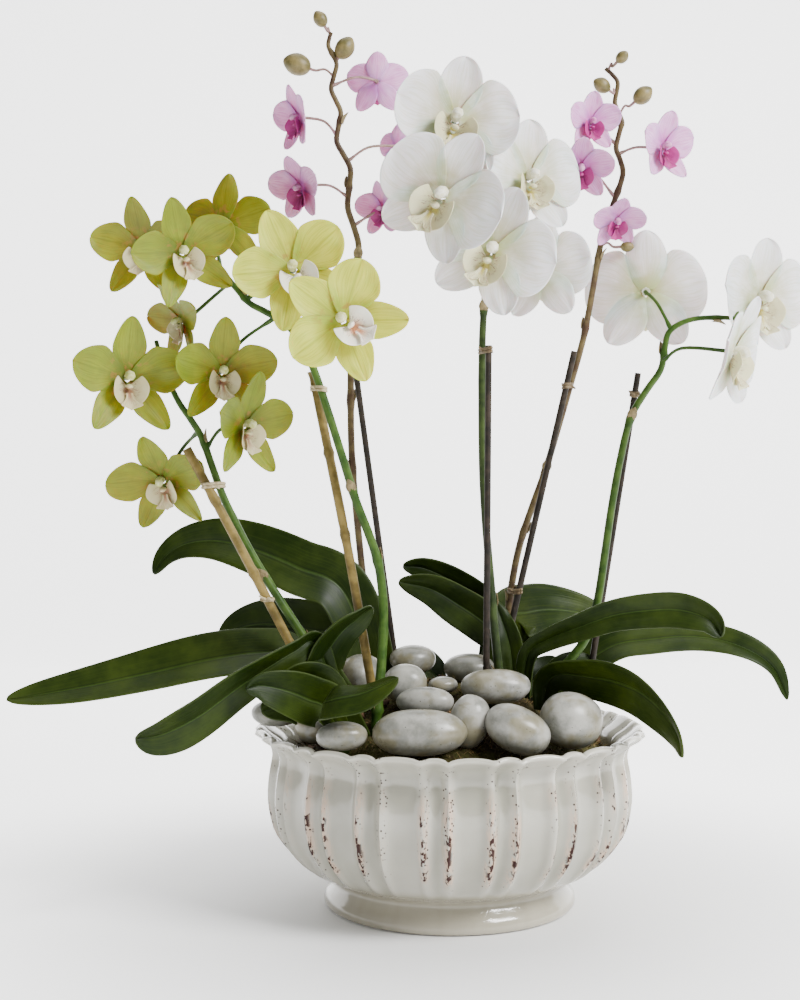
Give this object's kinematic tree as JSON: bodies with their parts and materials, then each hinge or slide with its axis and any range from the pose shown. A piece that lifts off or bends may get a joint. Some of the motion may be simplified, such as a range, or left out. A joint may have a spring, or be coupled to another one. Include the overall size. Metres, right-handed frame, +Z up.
{
  "type": "potted orchid",
  "caption": "Phalaenopsis orchids in yellow, white and pink on staked spikes, planted with moss and river stones in a fluted, footed ceramic bowl.",
  "frame": {"origin": "centre of the bowl's flat underside, on the surface that it stands on", "axes": "+Z up along the bowl's axis and the plants' height, +X to the right and -Y towards the front of the arrangement"},
  "size_m": [0.5717, 0.28, 0.6448],
  "materials": {
    "glaze": "gloss",
    "potting_mix": "matte",
    "moss": "matte",
    "stone": "satin",
    "leaf": "satin",
    "green_stem": "satin",
    "brown_stem": "satin",
    "pink_spike": "satin",
    "bamboo": "matte",
    "dark_stake": "matte",
    "yellow_petal": "matte",
    "white_petal": "matte"
  },
  "bodies": {
    "root": {"planter_bowl": "glaze", "potting_mix": "potting_mix", "moss_bed": "moss", "stone_left_rim": "stone", "stone_left_front": "stone", "stone_front_left": "stone", "stone_front_long": "stone", "stone_round": "stone", "stone_back_flat": "stone", "stone_back_left": "stone", "stone_middle_long": "stone", "stone_middle_small": "stone", "stone_back_centre": "stone", "stone_centre_oval": "stone", "stone_front_narrow": "stone", "stone_front_oval": "stone", "stone_front_round": "stone", "leaf_left_arching": "leaf", "leaf_left_back": "leaf", "leaf_left_long": "leaf", "leaf_left_low": "leaf", "leaf_left_upright": "leaf", "leaf_left_wide": "leaf", "leaf_small_front": "leaf", "leaf_centre_low": "leaf", "leaf_centre_high": "leaf", "leaf_right_back": "leaf", "leaf_right_arching": "leaf", "leaf_right_long": "leaf", "leaf_right_front": "leaf", "flower_yellow_01": "yellow_petal", "flower_yellow_02": "yellow_petal", "flower_yellow_03": "yellow_petal", "flower_yellow_04": "yellow_petal", "flower_yellow_05": "yellow_petal", "flower_yellow_07": "yellow_petal", "flower_yellow_10": "yellow_petal", "flower_yellow_06": "yellow_petal", "flower_yellow_08": "yellow_petal", "flower_yellow_09": "yellow_petal", "flower_white_01": "white_petal", "flower_white_02": "white_petal", "flower_white_03": "white_petal", "flower_white_04": "white_petal", "flower_white_05": "white_petal", "flower_white_06": "white_petal", "flower_white_07": "white_petal", "flower_white_08": "white_petal", "spike_yellow_tall": "green_stem", "spike_yellow_low": "green_stem", "spike_pink_left": "pink_spike", "spike_white_centre": "brown_stem", "spike_pink_right": "pink_spike", "spike_white_right": "green_stem", "bamboo_stake_tall": "bamboo", "bamboo_stake_low": "bamboo", "stake_pink_left": "dark_stake", "stake_white_centre": "dark_stake", "stake_pink_right": "dark_stake", "stake_white_right": "dark_stake"}
  },
  "joints": []
}
